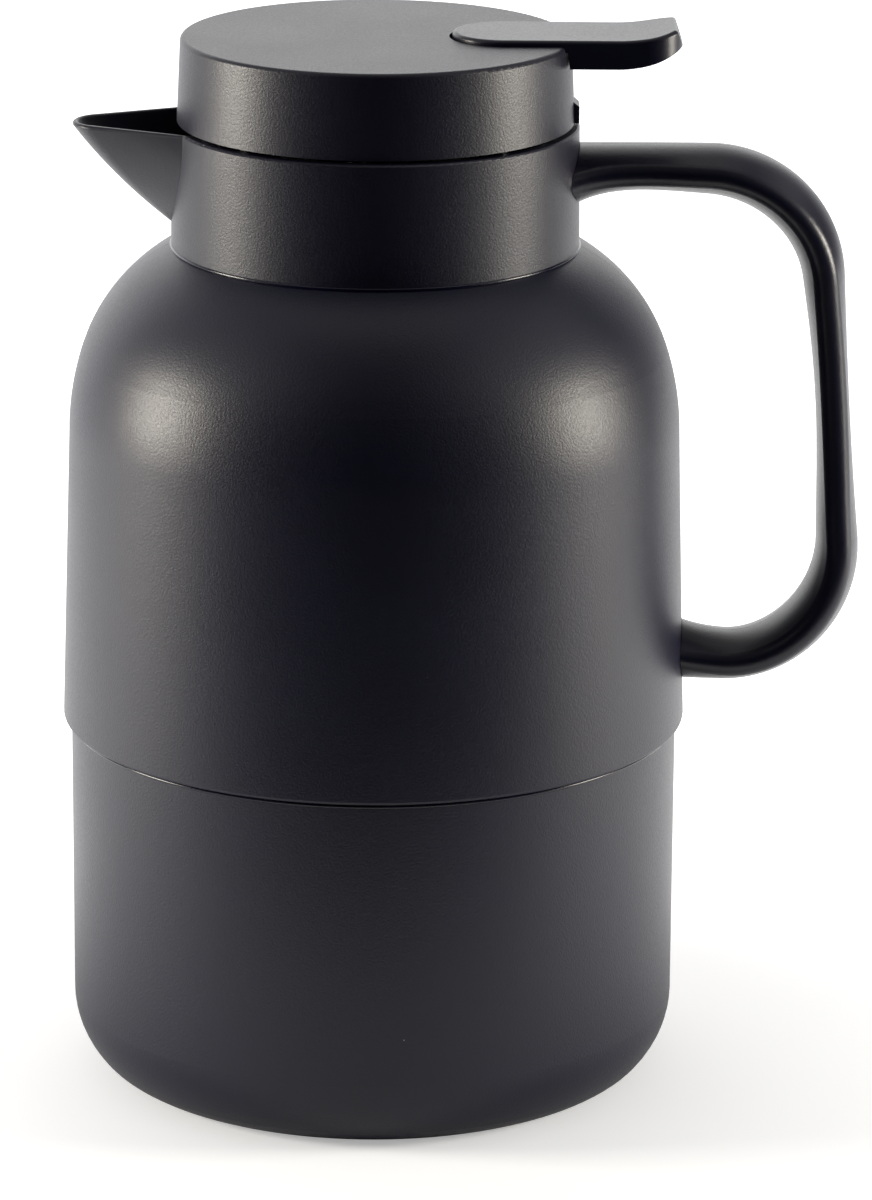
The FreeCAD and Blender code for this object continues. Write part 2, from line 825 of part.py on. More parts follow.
turned(
    handle,
    "shell_side_cut",
    [
        ("0", "handle_low_z - foot_depth"),
        ("low_shell_radius + taper * foot_depth + seat_gap", "handle_low_z - foot_depth"),
        ("low_shell_radius - taper * foot_depth + seat_gap", "handle_low_z + foot_depth"),
        ("0", "handle_low_z + foot_depth"),
    ],
    cut=True,
)
tenon_x = f"{socket_x} + tenon_fit"
tenon_sketch = loop_sketch(
    handle,
    "tenon_outline",
    "YZ_Plane",
    box_steps(less(tenon_half), tenon_low, tenon_half, tenon_high),
    tenon_x,
)
raised(handle, "tenon", tenon_sketch, f"collar_radius + root_inset - ({tenon_x})")
bite_x = f"low_shell_radius - {CUT_MARGIN}"
bite_sketch = new_sketch(handle, "handle_screw_bite_outline", "YZ_Plane", bite_x)
draw_circle(bite_sketch, "0", "handle_low_z", "handle_screw_radius + screw_fit")
pocketed(handle, "handle_screw_bite", bite_sketch, "handle_screw_length + screw_tip_gap", back=True)


# Glass flask
def flask_side(inset, neck, fillet):
    """Formulas of one glass surface: its radius, the end of its dome and the foot of its neck."""
    dome = f"(dome_arc - ({inset}))"
    centre_x = f"({neck}) + ({fillet})"
    reach = f"({dome} + ({fillet}))"
    neck_z = f"flask_cz + sqrt({reach}^2 - ({centre_x} - dome_cx)^2)"
    touch_x = f"dome_cx + {dome} * ({centre_x} - dome_cx) / {reach}"
    touch_z = f"flask_cz + {dome} * sqrt({reach}^2 - ({centre_x} - dome_cx)^2) / {reach}"
    return {
        "radius": f"shoulder_radius - ({inset})",
        "arc": f"shoulder_arc - ({inset})",
        "dome": dome,
        "join": shoulder_join(inset, "flask_z"),
        "touch": (touch_x, touch_z),
        "neck": neck,
        "fillet": fillet,
        "neck_z": neck_z,
    }


def rising(side, base, corner, top):
    """Steps up the outside of a flask, from the edge of its base to the top of its neck."""
    return [
        (f"{side['radius']} - ({corner})", base),
        (side["radius"], f"{base} + ({corner})", corner, 1),
        (side["radius"], "flask_z"),
        (*side["join"], side["arc"], 1),
        (*side["touch"], side["dome"], 1),
        (side["neck"], side["neck_z"], side["fillet"], -1),
        (side["neck"], top),
    ]


def falling(side, base, corner, top):
    """Steps down the inside of a flask, from the top of its neck to the edge of its floor."""
    return [
        (side["neck"], top),
        (side["neck"], side["neck_z"]),
        (*side["touch"], side["fillet"], 1),
        (*side["join"], side["dome"], -1),
        (side["radius"], "flask_z", side["arc"], -1),
        (side["radius"], f"{base} + ({corner})"),
        (f"{side['radius']} - ({corner})", base, corner, -1),
    ]


outer_out = flask_side("outer_inset", "flask_neck_radius", "outer_neck_fillet")
outer_in = flask_side(
    "outer_inset + glass_wall", "flask_neck_radius - glass_wall", "outer_neck_fillet + glass_wall"
)
inner_out = flask_side("inner_inset", "neck_inner_radius + glass_wall", "inner_neck_fillet")
inner_in = flask_side("inner_inset + glass_wall", "neck_inner_radius", "inner_neck_fillet + glass_wall")
inner_corner = "flask_corner - glass_wall - vacuum_gap"
outer_floor = "flask_base_z + glass_wall"
inner_floor = "inner_base_z + glass_wall"

outer_flask = new_body("outer_flask")
turned(
    outer_flask,
    "outer_glass",
    [("0", "flask_base_z - tip_length"), ("tip_radius / 2", "flask_base_z - tip_length")]
    + [("tip_radius", "flask_base_z")]
    + rising(outer_out, "flask_base_z", "flask_corner", "outer_neck_z")
    + falling(outer_in, outer_floor, "flask_corner - glass_wall", "outer_neck_z")
    + [("0", outer_floor)],
)
inner_flask = new_body("inner_flask")
turned(
    inner_flask,
    "inner_glass",
    [("0", "inner_base_z")]
    + rising(inner_out, "inner_base_z", inner_corner, "outer_neck_z")
    + [
        ("flask_neck_radius", "outer_neck_z"),
        ("flask_neck_radius", "lip_z - lip_round"),
        ("flask_neck_radius - lip_round", "lip_z", "lip_round", 1),
        ("neck_inner_radius + lip_round", "lip_z"),
        ("neck_inner_radius", "lip_z - lip_round", "lip_round", 1),
    ]
    + falling(inner_in, inner_floor, f"{inner_corner} - glass_wall", "lip_z - lip_round")[1:]
    + [("0", inner_floor)],
)


# Primitive helpers for pieces with several solids
def cylinder(name, radius, height, x, y, z):
    """An upright cylinder with bound sizes and place."""
    shape = doc.addObject("Part::Cylinder", name)
    shape.setExpression("Radius", bound(radius))
    shape.setExpression("Height", bound(height))
    for axis, formula in (("x", x), ("y", y), ("z", z)):
        shape.setExpression(f"Placement.Base.{axis}", bound(formula))
    return shape


def gathered(label, shapes):
    """Several solids that count as one node."""
    group = doc.addObject("Part::Compound", "Set_" + label)
    group.Links = shapes
    group.Label = label
    return group


def joined(name, first, second):
    """Two shapes fused."""
    fusion = doc.addObject("Part::Fuse", name)
    fusion.Base = first
    fusion.Tool = second
    return fusion


pads = []
for i, angle in enumerate(PAD_ANGLES):
    x, y = polar("pad_ring", angle)
    pads.append(cylinder(f"flask_pad_{i}", "pad_radius", "vacuum_gap", x, y, outer_floor))
flask_pads = gathered("flask_pads", pads)

neck_seal = new_body("neck_seal")
turned(neck_seal, "seal_ring", box_steps("bore_radius", "lip_z", "flask_neck_radius", "pour_low_z"))

base_cushion = new_body("base_cushion")
cushion_hole = "tip_radius + cushion_hole_gap"
turned(
    base_cushion,
    "cushion_ring",
    [
        (cushion_hole, "floor_z"),
        ("cushion_radius", "floor_z"),
        ("cushion_radius", "flask_base_z - cushion_edge"),
        ("cushion_radius - cushion_edge", "flask_base_z"),
        (cushion_hole, "flask_base_z"),
    ],
)

# Handle screw, from the inside of the upper shell into the handle
screw_face = "low_shell_radius - shell_wall - seat_gap - taper * handle_screw_head"
screw_head = cylinder(
    "handle_screw_head_disc",
    "handle_screw_head",
    "handle_screw_head_height",
    f"{screw_face} - handle_screw_head_height",
    "0",
    "handle_low_z",
)
screw_shank = cylinder(
    "handle_screw_shank",
    "handle_screw_radius",
    "handle_screw_length + handle_screw_head_height / 2",
    f"{screw_face} - handle_screw_head_height / 2",
    "0",
    "handle_low_z",
)
for shape in (screw_head, screw_shank):
    shape.Placement.Rotation = FreeCAD.Rotation(FreeCAD.Vector(0, 1, 0), 90)
handle_screw = joined("handle_screw_solid", screw_head, screw_shank)
handle_screw.Label = "handle_screw"

# Lid cap
lid_cap = new_body("lid_cap")
cap_top_radius = "lid_radius - lid_draft"
turned(
    lid_cap,
    "cap_shell",
    [
        ("lid_radius - lid_wall", "lid_z"),
        ("lid_radius", "lid_z"),
        (cap_top_radius, "lid_top - lid_edge"),
        (f"{cap_top_radius} - lid_edge", "lid_top", "lid_edge", 1),
        ("0", "lid_top"),
        ("0", "plate_z"),
        (f"{cap_top_radius} - lid_wall", "plate_z"),
    ],
)
boss_sketch = new_sketch(lid_cap, "boss_outline", "XY_Plane", "guide_top")
for angle in SCREW_ANGLES:
    draw_circle(boss_sketch, *polar("lid_screw_ring", angle), "boss_radius")
raised(lid_cap, "screw_bosses", boss_sketch, f"plate_z + {SINK} - guide_top")
slot_half = "lever_half + slot_gap"
slot_nose = "lever_nose - slot_gap"
slot_end = f"lid_radius + {CUT_MARGIN}"
slot_sketch = loop_sketch(
    lid_cap,
    "lever_slot_outline",
    "XY_Plane",
    [
        (slot_end, slot_half),
        ("nose_cx", slot_half),
        (slot_nose, "0", slot_half, 1),
        ("nose_cx", less(slot_half), slot_half, 1),
        (slot_end, less(slot_half)),
    ],
    "lid_top",
)
pocketed(lid_cap, "lever_slot", slot_sketch, "notch_depth")
rib_back = "lid_radius - lid_wall / 2"
rib_sketch = loop_sketch(
    lid_cap,
    "index_rib_outline",
    "XZ_Plane",
    [
        (rib_back, "lid_z"),
        ("lid_radius + rib_proud", "lid_z"),
        ("lid_radius + rib_proud", "lid_z + rib_height - rib_slope"),
        (rib_back, "lid_z + rib_height"),
    ],
)
raised(lid_cap, "index_rib", rib_sketch, "rib_width", both=True)
pilot_sketch = new_sketch(lid_cap, "pilot_outline", "XY_Plane", "guide_top")
for angle in SCREW_ANGLES:
    draw_circle(pilot_sketch, *polar("lid_screw_ring", angle), "lid_screw_radius + screw_fit")
pocketed(lid_cap, "pilot_holes", pilot_sketch, "lid_screw_bite + screw_tip_gap", back=True)

# Stopper
stopper = new_body("stopper")
tube_inner = "stopper_radius - stopper_wall"
stopper_floor_z = "stopper_z + stopper_floor"
turned(
    stopper,
    "stopper_tube",
    [
        ("valve_hole", "stopper_z"),
        ("stopper_radius - stopper_edge", "stopper_z"),
        ("stopper_radius", "stopper_z + stopper_edge"),
        ("stopper_radius", "groove_z"),
        ("groove_radius", "groove_z"),
        ("groove_radius", "groove_top"),
        ("stopper_radius", "groove_top"),
        ("stopper_radius", "flange_z"),
        ("flange_radius", "flange_z"),
        ("flange_radius", "guide_z"),
        (tube_inner, "guide_z"),
        (tube_inner, stopper_floor_z),
        ("disc_radius", stopper_floor_z),
        ("disc_radius", "seat_top"),
        ("valve_hole", "seat_top"),
    ],
)
window_half = "window_width / 2"
window_sketch = loop_sketch(
    stopper,
    "window_outline",
    "XZ_Plane",
    box_steps(
        less(window_half), "groove_top + window_sill", window_half, "flange_z - window_head"
    ),
)
window = pocketed(stopper, "pour_window", window_sketch, f"stopper_radius + {CUT_MARGIN}")
ring = stopper.newObject("PartDesign::PolarPattern", "pour_windows")
ring.Originals = [window]
ring.Axis = (window_sketch, ["V_Axis"])
ring.Angle = FULL_TURN
ring.Occurrences = WINDOW_COUNT
stopper.Tip = ring
doc.recompute()
hole_sketch = new_sketch(stopper, "flange_hole_outline", "XY_Plane", "guide_z")
for angle in SCREW_ANGLES:
    draw_circle(hole_sketch, *polar("lid_screw_ring", angle), "lid_screw_hole")
pocketed(stopper, "flange_holes", hole_sketch, f"flange_thickness + {CUT_MARGIN}")

# Guide plate with the lever's lugs
guide_plate = new_body("guide_plate")
grommet_hole = "grommet_radius + grommet_fit"
turned(guide_plate, "guide_disc", box_steps(grommet_hole, "guide_z", "guide_radius", "guide_top"))
lug_left = "pivot_x - hub_radius"
lug_right = "pivot_x + hub_radius"
lug_sketch = loop_sketch(
    guide_plate,
    "lug_outline",
    "XZ_Plane",
    [
        (lug_left, f"guide_top - {SINK}"),
        (lug_right, f"guide_top - {SINK}"),
        (lug_right, "pivot_z"),
        ("pivot_x", "pivot_z + hub_radius", "hub_radius", 1),
        (lug_left, "pivot_z", "hub_radius", 1),
    ],
)
raised(guide_plate, "lug_block", lug_sketch, "2 * lug_out", both=True)
gap_sketch = loop_sketch(
    guide_plate,
    "lug_gap_outline",
    "XZ_Plane",
    box_steps(
        f"{lug_left} - {CUT_MARGIN}",
        "guide_top",
        f"{lug_right} + {CUT_MARGIN}",
        f"pivot_z + hub_radius + {CUT_MARGIN}",
    ),
)
pocketed(guide_plate, "lug_gap_cut", gap_sketch, "2 * lug_in", both=True)
bore_sketch = new_sketch(guide_plate, "lug_bore_outline", "XZ_Plane")
draw_circle(bore_sketch, "pivot_x", "pivot_z", "pin_radius + pin_fit")
pocketed(guide_plate, "lug_bore", bore_sketch, f"2 * lug_out + {CUT_MARGIN}", both=True)
hole_sketch = new_sketch(guide_plate, "guide_hole_outline", "XY_Plane", "guide_top")
for angle in SCREW_ANGLES:
    draw_circle(hole_sketch, *polar("lid_screw_ring", angle), "lid_screw_hole")
pocketed(guide_plate, "guide_holes", hole_sketch, f"guide_thickness + {CUT_MARGIN}")

# Lid screws
screws = []
for i, angle in enumerate(SCREW_ANGLES):
    x, y = polar("lid_screw_ring", angle)
    head_low = "flange_z - lid_screw_head_height"
    head = cylinder(f"lid_screw_head_{i}", "lid_screw_head", "lid_screw_head_height", x, y, head_low)
    shank_z = "flange_z - lid_screw_head_height / 2"
    shank_length = f"guide_top + lid_screw_bite - ({shank_z})"
    shank = cylinder(f"lid_screw_shank_{i}", "lid_screw_radius", shank_length, x, y, shank_z)
    screws.append(joined(f"lid_screw_{i}", head, shank))
lid_screws = gathered("lid_screws", screws)

# Gasket
lid_gasket = new_body("lid_gasket")
gasket_in = "groove_radius + groove_fit"
gasket_out = "bore_radius - gasket_clearance"
gasket_z = "groove_z + groove_fit"
gasket_top = f"{gasket_z} + gasket_height"
turned(
    lid_gasket,
    "gasket_ring",
    [
        (gasket_in, gasket_z),
        (f"{gasket_out} - gasket_edge", gasket_z),
        (gasket_out, f"{gasket_z} + gasket_edge"),
        (gasket_out, f"{gasket_top} - gasket_edge"),
        (f"{gasket_out} - gasket_edge", gasket_top),
        (gasket_in, gasket_top),
    ],
)

# Lever
lever = new_body("lever")
tip_top_x = "lever_tip - lever_tip_back"
tip_top_z = "lever_top + lever_tip_rise"
tip_low_z = "lever_top - lever_tip_low"
rise_arc = f"(({tip_top_x} - lever_turn)^2 + lever_tip_rise^2) / (2 * lever_tip_rise)"
low_rise = "(lever_depth - lever_tip_low)"
under_arc = f"((lever_tip - lever_turn)^2 + {low_rise}^2) / (2 * {low_rise})"
tongue_sketch = loop_sketch(
    lever,
    "tongue_outline",
    "XZ_Plane",
    [
        ("lever_nose", "tongue_z"),
        ("drop_x", "tongue_z"),
        ("drop_x", "lever_low"),
        ("lever_turn", "lever_low"),
        ("lever_tip", tip_low_z, under_arc, 1),
        (tip_top_x, tip_top_z),
        ("lever_turn", "lever_top", rise_arc, -1),
        ("lever_nose", "lever_top"),
    ],
)
raised(lever, "tongue", tongue_sketch, f"2 * (lever_half + {CUT_MARGIN})", both=True)
plan_z = f"lever_top + lever_tip_rise + {CUT_MARGIN}"
plan_sketch = new_sketch(lever, "tongue_plan", "XY_Plane", plan_z)
wide = f"lever_half + {2 * CUT_MARGIN}"
trim_x = (f"lever_nose - {CUT_MARGIN}", f"lever_tip + {CUT_MARGIN}")
draw_loop(plan_sketch, box_steps(trim_x[0], less(wide), trim_x[1], wide))
corner_x = "lever_tip - lever_corner"
corner_y = "lever_half - lever_corner"
draw_loop(
    plan_sketch,
    [
        ("nose_cx", "lever_half"),
        ("lever_nose", "0", "lever_half", 1),
        ("nose_cx", "-lever_half", "lever_half", 1),
        (corner_x, "-lever_half"),
        ("lever_tip", less(corner_y), "lever_corner", 1),
        ("lever_tip", corner_y),
        (corner_x, "lever_half", "lever_corner", 1),
    ],
)
pocketed(lever, "tongue_trim", plan_sketch, f"{plan_z} - lever_low + {CUT_MARGIN}")
turned(
    lever,
    "wall_clearance",
    [
        ("0", f"lever_low - {CUT_MARGIN}"),
        ("lid_radius + lever_wall_gap", f"lever_low - {CUT_MARGIN}"),
        ("lid_radius - lid_draft + lever_wall_gap", "tongue_z"),
        ("0", "tongue_z"),
    ],
    cut=True,
)
doc.recompute()
top_level = value("lever_top") - NEAR
turn_level = value("lever_turn")
trimmed = lever.Tip
rim_edges = []
for i, edge in enumerate(trimmed.Shape.Edges, start=1):
    box = edge.BoundBox
    across = box.XLength < NEAR and abs(box.XMin - turn_level) < NEAR
    if box.ZMin > top_level and not across:
        rim_edges.append(f"Edge{i}")
rounding = lever.newObject("PartDesign::Fillet", "tongue_rounding")
rounding.Base = (trimmed, rim_edges)
rounding.setExpression("Radius", bound("lever_edge"))
doc.recompute()
prong_z = "crest_z - prong_under"
prong_top = "crest_z + prong_over"
web_x = "pivot_x - hub_radius - arm_back"
web_top = f"tongue_z + {SINK}"
arm_sketch = loop_sketch(
    lever,
    "arm_outline",
    "XZ_Plane",
    [
        ("crest_radius / 2", prong_z),
        ("fork_root", prong_z),
        ("pivot_x", "pivot_z - hub_radius"),
        ("pivot_x + hub_radius", "pivot_z", "hub_radius", 1),
        ("pivot_x + hub_radius", web_top),
        (web_x, web_top),
        (web_x, "pivot_z + arm_rise"),
        ("fork_root", prong_top),
        ("crest_radius / 2", prong_top),
    ],
)
raised(lever, "lever_arm", arm_sketch, "2 * hub_half", both=True)
crest_sketch = new_sketch(lever, "crest_outline", "XZ_Plane")
draw_circle(crest_sketch, "0", "crest_z", "crest_radius")
raised(lever, "fork_crest", crest_sketch, "2 * hub_half", both=True)
fork_sketch = loop_sketch(
    lever,
    "fork_gap_outline",
    "XY_Plane",
    box_steps(f"-crest_radius - {CUT_MARGIN}", less("fork_half"), "fork_depth", "fork_half"),
    f"crest_z + crest_radius + {CUT_MARGIN}",
)
pocketed(lever, "fork_gap", fork_sketch, f"2 * (crest_radius + {CUT_MARGIN})")
bore_sketch = new_sketch(lever, "lever_bore_outline", "XZ_Plane")
draw_circle(bore_sketch, "pivot_x", "pivot_z", "pin_radius + pin_fit")
pocketed(lever, "lever_bore", bore_sketch, f"2 * hub_half + {CUT_MARGIN}", both=True)

lever_pin = new_body("lever_pin")
pin_sketch = new_sketch(lever_pin, "pin_outline", "XZ_Plane")
draw_circle(pin_sketch, "pivot_x", "pivot_z", "pin_radius")
raised(lever_pin, "pin", pin_sketch, "2 * (lug_out + pin_proud)", both=True)

# Valve
valve_stem = new_body("valve_stem")
boss_top = "disc_top + hub_boss_height"
turned(
    valve_stem,
    "stem",
    [
        ("0", "boss_pin_z"),
        ("boss_pin_radius", "boss_pin_z"),
        ("boss_pin_radius", "disc_z"),
        ("disc_radius", "disc_z"),
        ("disc_radius", "disc_top"),
        ("hub_boss_radius", "disc_top"),
        ("hub_boss_radius", boss_top),
        ("stem_radius", boss_top),
        ("stem_radius", "head_z"),
        ("stem_head_radius", "head_z"),
        ("stem_head_radius", "head_z + stem_head_height"),
        ("0", "head_z + stem_head_height"),
    ],
)
valve_washer = new_body("valve_washer")
pin_hole = "boss_pin_radius + boss_pin_fit"
turned(valve_washer, "washer", box_steps(pin_hole, "seat_top", "washer_radius", "disc_z"))
washer_retainer = new_body("washer_retainer")
turned(
    washer_retainer,
    "retainer",
    [
        ("0", "retainer_z"),
        ("retainer_radius - retainer_edge", "retainer_z"),
        ("retainer_radius", "retainer_z + retainer_edge"),
        ("retainer_radius", "seat_top"),
        (pin_hole, "seat_top"),
        (pin_hole, "boss_pin_z - boss_pin_gap"),
        ("0", "boss_pin_z - boss_pin_gap"),
    ],
)
stem_grommet = new_body("stem_grommet")
stem_hole = "stem_radius + stem_fit"
turned(
    stem_grommet,
    "grommet",
    [
        (stem_hole, "guide_z - grommet_flange"),
        ("hub_boss_radius", "guide_z - grommet_flange"),
        ("hub_boss_radius", "guide_z"),
        ("grommet_radius", "guide_z"),
        ("grommet_radius", "guide_top"),
        (stem_hole, "guide_top"),
    ],
)
valve_spring = new_body("valve_spring")
wire_sketch = new_sketch(valve_spring, "wire_outline", "XZ_Plane")
draw_circle(wire_sketch, "spring_radius", "disc_top + spring_wire + spring_fit", "spring_wire")
coil = valve_spring.newObject("PartDesign::AdditiveHelix", "coil")
coil.Profile = wire_sketch
coil.ReferenceAxis = (wire_sketch, ["V_Axis"])
coil.Mode = "height-turns-angle"
coil.setExpression("Height", bound("guide_z - disc_top - 2 * (spring_wire + spring_fit)"))
coil.setExpression("Turns", bound("spring_turns"))

# Check every object and write one file per node
doc.recompute()
NODES = [
    lower_shell,
    upper_shell,
    spout_collar,
    handle,
    handle_screw,
    outer_flask,
    inner_flask,
    flask_pads,
    neck_seal,
    base_cushion,
    lid_cap,
    stopper,
    guide_plate,
    lid_screws,
    lid_gasket,
    lever,
    lever_pin,
    valve_stem,
    valve_washer,
    washer_retainer,
    stem_grommet,
    valve_spring,
]
for item in doc.Objects:
    if "Invalid" in item.State or "Error" in item.State:
        raise ValueError(f"{item.Label} did not compute: {item.State}")
os.makedirs("parts", exist_ok=True)
for node in NODES:
    shape = node.Shape
    if shape.isNull() or not shape.isValid() or not shape.Solids:
        raise ValueError(f"{node.Label} has no sound solid")
    shape.exportStep(f"parts/{node.Label}.step")
    print(node.Label, len(shape.Solids), round(shape.Volume, 1))
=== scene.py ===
"""Looks of a black thermal carafe: finishes, mould details, studio floor, lights and camera."""

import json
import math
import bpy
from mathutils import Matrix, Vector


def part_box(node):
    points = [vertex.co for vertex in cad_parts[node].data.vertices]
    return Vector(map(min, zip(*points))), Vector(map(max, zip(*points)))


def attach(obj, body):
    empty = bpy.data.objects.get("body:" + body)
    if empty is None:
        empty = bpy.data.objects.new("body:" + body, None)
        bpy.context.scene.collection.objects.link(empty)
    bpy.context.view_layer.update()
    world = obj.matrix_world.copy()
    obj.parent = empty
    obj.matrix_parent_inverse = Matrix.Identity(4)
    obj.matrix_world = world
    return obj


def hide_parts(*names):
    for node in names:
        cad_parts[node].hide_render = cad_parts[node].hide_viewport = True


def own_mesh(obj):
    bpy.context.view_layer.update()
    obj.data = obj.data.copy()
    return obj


bl_info = {
    "name": "Thermal Carafe",
    "version": (1, 0, 0),
    "blender": (4, 5, 0),
    "location": "View3D > Sidebar > Carafe",
    "description": "Dresses a thermal carafe with its plastics, glass and seals and sets up its studio",
    "category": "Object",
}

import bmesh
import bpy
from mathutils import Matrix, Vector

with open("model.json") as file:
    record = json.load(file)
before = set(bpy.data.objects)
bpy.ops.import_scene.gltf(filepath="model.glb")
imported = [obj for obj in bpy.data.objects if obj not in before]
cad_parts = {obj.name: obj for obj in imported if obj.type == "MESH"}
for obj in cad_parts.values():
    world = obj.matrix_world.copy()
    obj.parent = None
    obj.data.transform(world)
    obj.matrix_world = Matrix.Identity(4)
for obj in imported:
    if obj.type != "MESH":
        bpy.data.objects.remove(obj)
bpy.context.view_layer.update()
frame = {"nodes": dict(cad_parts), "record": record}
NODES = frame["nodes"]
BLACK = (0.0, 0.0, 0.0, 1.0)
WHITE = (1.0, 1.0, 1.0, 1.0)

# Steps along a wound wire and sides of its round section
WIRE_STEPS = 192
WIRE_SIDES = 16

# Moulded plastic: sizes in metres, strengths and shares of its clouds, dust and grain
CLOUD_SIZE = 0.03
CLOUD_DARK = 0.75
CLOUD_LIGHT = 1.3
CLOUD_ROUGHNESS = 0.06
DUST_CELLS = 130.0
DUST_SPECK = 0.022
DUST_GREY = (0.3, 0.3, 0.3, 1.0)
GRAIN_STRENGTH = 0.6
GRAIN_ROUGHNESS = 0.2
PLASTIC_IOR = 1.5

# Rubber, glass, steel and felt: sizes and depths in metres, strengths and roughness as shares
SILICONE_IOR = 1.41
SKIN_DEPTH = 0.00003
SKIN_STRENGTH = 0.25
TALC_SIZE = 0.006
TALC_EDGE = (0.45, 0.75)
TALC_ROUGHNESS = 0.1
WAVE_SIZE = 0.018
WAVE_DEPTH = 0.0003
WAVE_STRENGTH = 0.3
HAZE_SIZE = 0.004
HAZE_ROUGHNESS = 0.04
GLASS_ROUGHNESS = 0.07
COAT_ROUGHNESS = 0.02
MARK_SIZE = 0.0003
MARK_DEPTH = 0.00001
MARK_STRENGTH = 0.2
MARK_ROUGHNESS = 0.15
TARNISH_SIZE = 0.003
STEEL_ROUGHNESS = 0.3
FIBRE_SIZE = 0.0006
FIBRE_DEPTH = 0.0002
FIBRE_STRENGTH = 0.8
FIBRE_ROUGHNESS = 0.1
FELT_ROUGHNESS = 0.85

# Soft steps of the studio's white: from, to, level before and level after
# The first step is painted shadow: the white that the camera sees on the floor is weaker near the carafe
FLOOR_SEEN_PAINTED_SHADOW = (0.09, 0.3, 0.36, 1.0)
FLOOR_MIRRORED = (0.08, 0.19, 0.0, 1.0)
FLOOR_FRONT = (-0.15, 0.1, 0.2, 1.0)
BACK_WHITE = (0.42, 0.85, 0.0, 1.0)
FLATS_ASIDE = (0.3, 0.7, 0.0, 1.0)
FLATS_UP = (0.25, 0.6, 0.0, 0.6)
OVERHEAD = (0.2, 0.9, 0.012, 0.12)

# How far the white behind leans towards the spout's side
BACK_LEAN = 0.22

# Lamp overhead and camera in metres, sensor in millimetres
TOP_PLACE = (0.0, 0.1, 1.2)
TOP_TARGET = (0.0, 0.0, 0.2)
TOP_SIZE = 0.9
SENSOR_WIDTH = 36.0
CLIP_NEAR = 0.05
CLIP_FAR = 20.0


# Sizes and colours that a user would change


def colour_property(name, description, default):
    """A colour with a plain name."""
    return bpy.props.FloatVectorProperty(
        name=name, description=description, default=default, size=3, subtype="COLOR", min=0.0, max=1.0
    )


def share_property(name, description, default):
    """A number from 0 to 1."""
    return bpy.props.FloatProperty(
        name=name, description=description, default=default, subtype="FACTOR", min=0.0, max=1.0
    )


def length_property(name, description, default):
    """A length in metres."""
    return bpy.props.FloatProperty(
        name=name, description=description, default=default, unit="LENGTH", precision=5
    )


def power_property(name, description, default):
    """The power of a lamp in watts."""
    return bpy.props.FloatProperty(
        name=name, description=description, default=default, unit="POWER", min=0.0
    )


def angle_property(name, description, degrees):
    """An angle."""
    return bpy.props.FloatProperty(
        name=name, description=description, default=math.radians(degrees), unit="ROTATION"
    )


class CarafeFinishes(bpy.types.PropertyGroup):
    """Colours and surfaces of the carafe's materials."""

    shell_colour: colour_property("Shell", "Moulded black of the two shells", (0.002, 0.002, 0.014))
    shell_roughness: share_property("Shell roughness", "How matte the shells are", 0.4)
    trim_colour: colour_property("Trim", "Satin black of collar and lid", (0.002, 0.002, 0.012))
    trim_roughness: share_property("Trim roughness", "How matte collar and lid are", 0.4)
    handle_roughness: share_property("Handle roughness", "How matte the handle is", 0.33)
    lever_roughness: share_property("Lever roughness", "How matte the thumb lever is", 0.34)
    inner_colour: colour_property("Stopper", "Black of the stopper and the valve", (0.016, 0.016, 0.017))
    silicone_colour: colour_property("Silicone", "Grey of gasket, seal and washer", (0.34, 0.35, 0.36))
    rubber_colour: colour_property("Rubber", "Black of the cushion under the flask", (0.03, 0.03, 0.03))
    felt_colour: colour_property("Felt", "Pads between the glass walls", (0.5, 0.47, 0.42))
    glass_colour: colour_property("Silvered glass", "Mirror layer of the flask", (0.86, 0.87, 0.88))
    steel_colour: colour_property("Steel", "Pin, screws and spring", (0.58, 0.58, 0.59))
    inner_roughness: share_property("Stopper roughness", "How matte stopper and valve are", 0.38)
    silicone_roughness: share_property("Silicone roughness", "How matte the silicone is", 0.5)
    rubber_roughness: share_property("Rubber roughness", "How matte the cushion is", 0.7)
    shell_dust: share_property("Shell dust", "Share of the cells with a speck on the shells", 0.04)
    trim_dust: share_property("Trim dust", "Share of the cells with a speck on collar and lid", 0.06)
    handle_grain: share_property("Handle grain", "Share of the grain's depth on the handle", 0.5)
    lever_grain: share_property("Lever grain", "Share of the grain's depth on the lever", 0.3)
    silicone_grain: length_property("Silicone grain", "Width of a grain of the silicone", 0.0005)
    rubber_grain: length_property("Rubber grain", "Width of a grain of the cushion", 0.0008)
    grain_size: length_property("Grain", "Width of a grain of the mould's fine texture", 0.0005)
    grain_depth: length_property("Grain depth", "Depth of the mould's fine texture", 0.0001)
    line_width: length_property("Mould line", "Width of the fine line where the mould's halves met", 0.00022)


class CarafeEdges(bpy.types.PropertyGroup):
    """Fine moulded edges that catch the light."""

    edge_radius: length_property("Edge radius", "Half the thickness of a fine edge", 0.0004)
    edge_roughness: share_property("Edge roughness", "How matte a fine edge is", 0.2)
    edge_grain: share_property("Edge grain", "Share of the grain's depth on a fine edge", 0.2)
    collar_radius: length_property("Collar edge", "From the axis to the edge at the collar's foot", 0.0470)
    collar_level: length_property("Collar edge level", "Height of the edge at the collar's foot", 0.19795)
    ledge_radius: length_property("Ledge", "From the axis to the ledge below the step of the shells", 0.0712)
    ledge_level: length_property("Ledge level", "Height of the ledge below the step of the shells", 0.0845)


class CarafeSpring(bpy.types.PropertyGroup):
    """The coil spring that closes the valve."""

    wire_radius: length_property("Wire radius", "Half the thickness of the spring's wire", 0.00045)
    turns: bpy.props.IntProperty(name="Turns", description="Turns of the spring", default=6, min=1)


